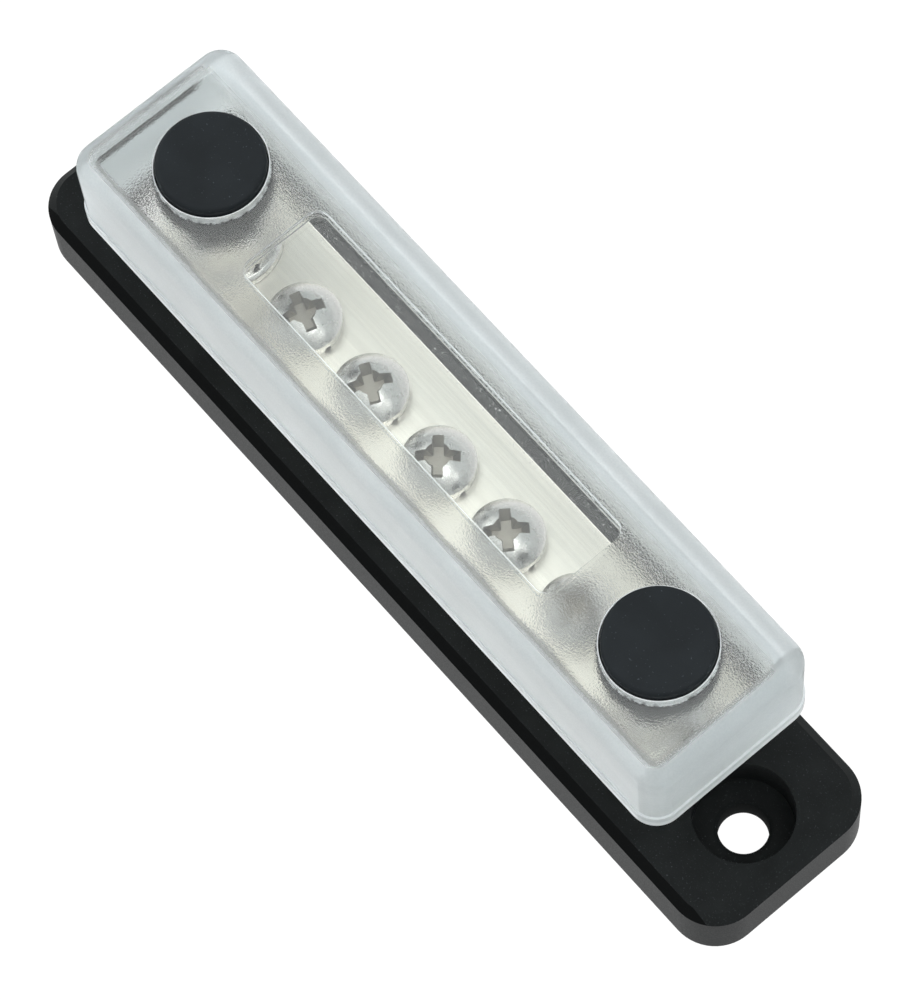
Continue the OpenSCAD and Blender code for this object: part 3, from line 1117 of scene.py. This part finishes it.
class BUSBAR_OT_screws(PieceOperator, Operator):
    """Model the terminal screws with their cross recesses and threads"""

    bl_idname = "busbar.model_screws"
    bl_label = "Model Screws"

    def execute(self, context):
        settings = context.scene.busbar
        sizes = settings.screw
        low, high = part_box("screw_1")
        radius = (high.x - low.x) / 2
        seat = high.z - sizes.head_height
        rise = sizes.head_height - sizes.rim
        dome = (radius**2 + rise**2) / (2 * rise)
        steps = [math.asin(radius / dome) * step / DOME_STEPS for step in range(DOME_STEPS + 1)]
        section = [(dome * math.sin(a), high.z - dome + dome * math.cos(a)) for a in steps]
        master = turned("screw_master", section + [(radius, seat), (0, seat)])
        bottom, top = high.z - sizes.recess_depth, high.z + MARGIN / 4
        flare = 1 + (1 - sizes.recess_taper) * (top - high.z) / sizes.recess_depth
        for across in (False, True):
            half = Vector((sizes.recess_span * flare, sizes.recess_wing, 0)) / 2
            wing = block("wing", (-half.x, -half.y, bottom), (half.x, half.y, top))
            with editing(wing, "FACE"):
                choose(wing, "faces", lambda face: face.normal.z < -FACING)
                taper = (sizes.recess_taper / flare, sizes.wing_taper, 1)
                bpy.ops.transform.resize(value=taper, center_override=(0, 0, bottom))
            if across:
                wing.rotation_euler.z = QUARTER_TURN
                make_active(wing)
                keep_as("wing")
            combine(master, wing)
        core = sizes.recess_core / 2
        core_foot = core * sizes.recess_taper
        combine(master, rod("core", 0, core_foot, bottom, top, core * flare, sides=CORE_STEPS))
        soften(master, sizes.edge_round)
        finish = settings.finish
        # The recesses' darker metal is painted shade
        dull = plated_metal("recess_steel", finish.recess, finish.recess_scuff, RECESS_ROUGHNESS)
        master.data.materials.append(bright_steel("screw_steel", finish))
        master.data.materials.append(dull)
        master.active_material_index = 1

        def in_recess(face):
            spot = face.calc_center_median()
            across = spot.to_2d().length
            skin = high.z - dome + math.sqrt(max(dome**2 - across**2, 0))
            return across < sizes.recess_span / 2 and seat < spot.z < skin - sizes.edge_round

        with editing(master, "FACE"):
            choose(master, "faces", in_recess)
            bpy.ops.object.material_slot_assign()
        thread = threaded_rod("thread", sizes.diameter, sizes.pitch, low.z, seat + MARGIN / 4)
        cut_end(thread, sizes.diameter / 2, low.z, -1, settings.stud.end_chamfer)
        shade(thread)
        join(master, thread)
        for number, turn in zip(SCREW_NUMBERS, sizes.recess_turns):
            node = f"screw_{number}"
            piece = copy_of(master, f"terminal_screw_{number}", middle_x(node), turn)
            dress(piece, None, "plated_steel", node, node)
        bpy.data.objects.remove(master)
        return {"FINISHED"}


class BUSBAR_OT_caps(PieceOperator, Operator):
    """Model the black caps on the stud ends"""

    bl_idname = "busbar.model_caps"
    bl_label = "Model Caps"

    def execute(self, context):
        settings = context.scene.busbar
        sizes, stud, cover = settings.cap, settings.stud, settings.cover
        low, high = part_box("cap_left")
        bore = stud.diameter / 2 + stud.thread_play
        hub, face, shoulder = sizes.hub_diameter / 2, sizes.diameter / 2, (high.x - low.x) / 2
        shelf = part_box("cover")[1].z - cover.top
        under = shelf - sizes.shoulder_height
        roof = high.z - sizes.roof
        turns = [QUARTER_TURN * step / EDGE_STEPS for step in range(EDGE_STEPS + 1)]
        rounding = sizes.rounding
        inner, crown = face - rounding, high.z - rounding
        rounded = [(inner + rounding * math.cos(a), crown + rounding * math.sin(a)) for a in turns]
        section = [(0, roof), (bore, roof), (bore, low.z), (hub, low.z), (hub, under)]
        section += [(shoulder, under), (shoulder, shelf), (face, shelf), *rounded, (0, high.z)]
        master = turned("cap_master", section)
        soften(master, sizes.edge_round)
        plastic = cap_plastic(settings.finish)
        for side in SIDES:
            piece = copy_of(master, f"stud_cap_{side}", middle_x(f"cap_{side}"))
            dress(piece, plastic, "cap_plastic", "base", f"cap_{side}")
        bpy.data.objects.remove(master)
        return {"FINISHED"}


class BUSBAR_OT_cover(PieceOperator, Operator):
    """Model the frosted cover with its cap holes and its clear window"""

    bl_idname = "busbar.model_cover"
    bl_label = "Model Cover"

    def execute(self, context):
        settings = context.scene.busbar
        sizes = settings.cover
        low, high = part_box("cover")
        piece = block("frosted_cover", low, (high.x, high.y, low.z + sizes.lip_height))
        round_corners(piece, sizes.corner_radius)
        wall_height = high.z - low.z - sizes.lip_height - sizes.edge_radius
        with editing(piece, "FACE"):
            choose(piece, "faces", lambda face: face.normal.z > FACING)
            bpy.ops.mesh.inset(thickness=sizes.lip_step, depth=0)
            bpy.ops.mesh.extrude_region_move(TRANSFORM_OT_translate={"value": (0, 0, wall_height)})
            round_over(sizes.edge_radius)
        ceiling = high.z - sizes.top
        inner_x = high.x - sizes.lip_step - sizes.end_wall
        inner_y = high.y - sizes.lip_step - sizes.side_wall
        cavity = block("cavity", (-inner_x, -inner_y, low.z - MARGIN), (inner_x, inner_y, ceiling))
        round_corners(cavity, sizes.corner_radius - sizes.side_wall)
        chamfer_face(cavity, 1, sizes.inner_round, CAVITY_EDGE_STEPS)
        combine(piece, cavity)
        hole = settings.cap.diameter / 2 + sizes.cap_play
        for side in SIDES:
            x = middle_x(f"cap_{side}")
            combine(piece, rod("cap_hole", x, hole, ceiling - MARGIN, high.z + MARGIN))
            mouth = high.z - sizes.hole_chamfer
            combine(piece, rod("mouth", x, hole, mouth, high.z, hole + sizes.hole_chamfer))
        half = Vector((sizes.window_length, sizes.window_width, 0)) / 2
        pane = high.z - sizes.window_depth
        window = block("window", (-half.x, -half.y, pane), (half.x, half.y, high.z + MARGIN))
        round_corners(window, sizes.window_radius)
        combine(piece, window)
        soften(piece, sizes.edge_round)
        plastic = frosted_plastic(settings.finish, sizes, middle_x("cap_right"), hole)
        dress(piece, plastic, "cover_plastic", "cover", "cover")
        return {"FINISHED"}


# Floor and light, with strengths as Blender gives them
FLOOR_SIZE = 6
FLOOR_DROP = 0.0001
FLOOR_GLOW = 1.0
SKY_COLOUR = (0.965, 0.995, 1, 1)
SKY_AIM = (-0.2, 0, 1)
SKY_LEVELS = {"From Min": 0, "From Max": 0.9, "To Min": 0.72, "To Max": 1.55}
CLIP_START, CLIP_END = 0.01, 20
# Each soft box with its place, its width and its power
SOFT_BOXES = (
    ("back_box", (-0.7, -0.3, 0.5), 0.4, 1.0),
    ("side_box", (0.6, 0.3, 0.5), 0.3, 0.8),
    ("top_box", (0.33, 0, 0.8), 0.25, 0.7),
)


def soft_box(name, place, size, power):
    """A square area light that faces the part."""
    lamp = bpy.data.lights.new(name, "AREA")
    lamp.size = size
    lamp.energy = power
    box = bpy.data.objects.new(name, lamp)
    bpy.context.scene.collection.objects.link(box)
    box.location = place
    box.rotation_euler = (-Vector(place)).to_track_quat("-Z", "Y").to_euler()


class BUSBAR_OT_stage(PieceOperator, Operator):
    """Set the floor, the light and the camera"""

    bl_idname = "busbar.set_stage"
    bl_label = "Set Stage"

    def execute(self, context):
        settings = context.scene.busbar
        studio = settings.studio
        clear_selection()
        bpy.ops.mesh.primitive_plane_add(size=FLOOR_SIZE, location=(0, 0, -FLOOR_DROP))
        floor = bpy.context.object
        floor.name = "studio_floor"
        paint = Finish("studio_floor")
        paint.set(
            Base_Color=(*settings.finish.floor, 1),
            Roughness=1.0,
            Specular_IOR_Level=0.0,
            Emission_Color=(1, 1, 1, 1),
            Emission_Strength=FLOOR_GLOW,
        )
        floor.data.materials.append(paint.material)

        world = bpy.data.worlds.new("studio_world")
        world.use_nodes = True
        tree = world.node_tree
        sky = tree.nodes["Background"]
        sky.inputs["Color"].default_value = SKY_COLOUR
        aim = tree.nodes.new("ShaderNodeVectorMath")
        aim.operation = "DOT_PRODUCT"
        aim.inputs[1].default_value = Vector(SKY_AIM).normalized()
        level = tree.nodes.new("ShaderNodeMapRange")
        for end, value in SKY_LEVELS.items():
            level.inputs[end].default_value = value
        tree.links.new(tree.nodes.new("ShaderNodeTexCoord").outputs["Generated"], aim.inputs[0])
        tree.links.new(aim.outputs["Value"], level.inputs["Value"])
        tree.links.new(level.outputs["Result"], sky.inputs["Strength"])
        context.scene.world = world
        for box in SOFT_BOXES:
            soft_box(*box)

        flat = math.cos(studio.elevation)
        away = (math.cos(studio.azimuth) * flat, math.sin(studio.azimuth) * flat)
        back = Vector((*away, math.sin(studio.elevation)))
        camera = bpy.data.objects.new("camera", bpy.data.cameras.new("camera"))
        context.scene.collection.objects.link(camera)
        camera.location = Vector(studio.target) + studio.distance * back
        camera.rotation_mode = "QUATERNION"
        roll = Quaternion((0, 0, 1), studio.roll)
        camera.rotation_quaternion = back.to_track_quat("Z", "Y") @ roll
        camera.data.lens = studio.lens
        camera.data.clip_start, camera.data.clip_end = CLIP_START, CLIP_END
        context.scene.camera = camera
        context.scene.view_settings.view_transform = "Standard"
        return {"FINISHED"}


class BUSBAR_PT_pieces(Panel):
    """Lists the modelling operators in order"""

    bl_label = "Busbar"
    bl_idname = "BUSBAR_PT_pieces"
    bl_space_type = "VIEW_3D"
    bl_region_type = "UI"
    bl_category = "Busbar"

    def draw(self, context):
        for operator in OPERATORS:
            self.layout.operator(operator.bl_idname)


GROUPS = (
    BaseSizes,
    BarSizes,
    StudSizes,
    ScrewSizes,
    CapSizes,
    CoverSizes,
    Finishes,
    Studio,
    BusbarSettings,
)
OPERATORS = (
    BUSBAR_OT_base,
    BUSBAR_OT_bar,
    BUSBAR_OT_studs,
    BUSBAR_OT_washers,
    BUSBAR_OT_nuts,
    BUSBAR_OT_screws,
    BUSBAR_OT_caps,
    BUSBAR_OT_cover,
    BUSBAR_OT_stage,
)
CLASSES = (*GROUPS, *OPERATORS, BUSBAR_PT_pieces)


def register():
    """Makes the settings, operators and panel known."""
    for made in CLASSES:
        bpy.utils.register_class(made)
    bpy.types.Scene.busbar = PointerProperty(type=BusbarSettings)


def unregister():
    """Takes them away again."""
    del bpy.types.Scene.busbar
    for made in reversed(CLASSES):
        bpy.utils.unregister_class(made)


def main():
    """Builds everything in order."""
    register()
    for operator in OPERATORS:
        group, name = operator.bl_idname.split(".")
        getattr(getattr(bpy.ops, group), name)()


if __name__ == "__main__":
    main()
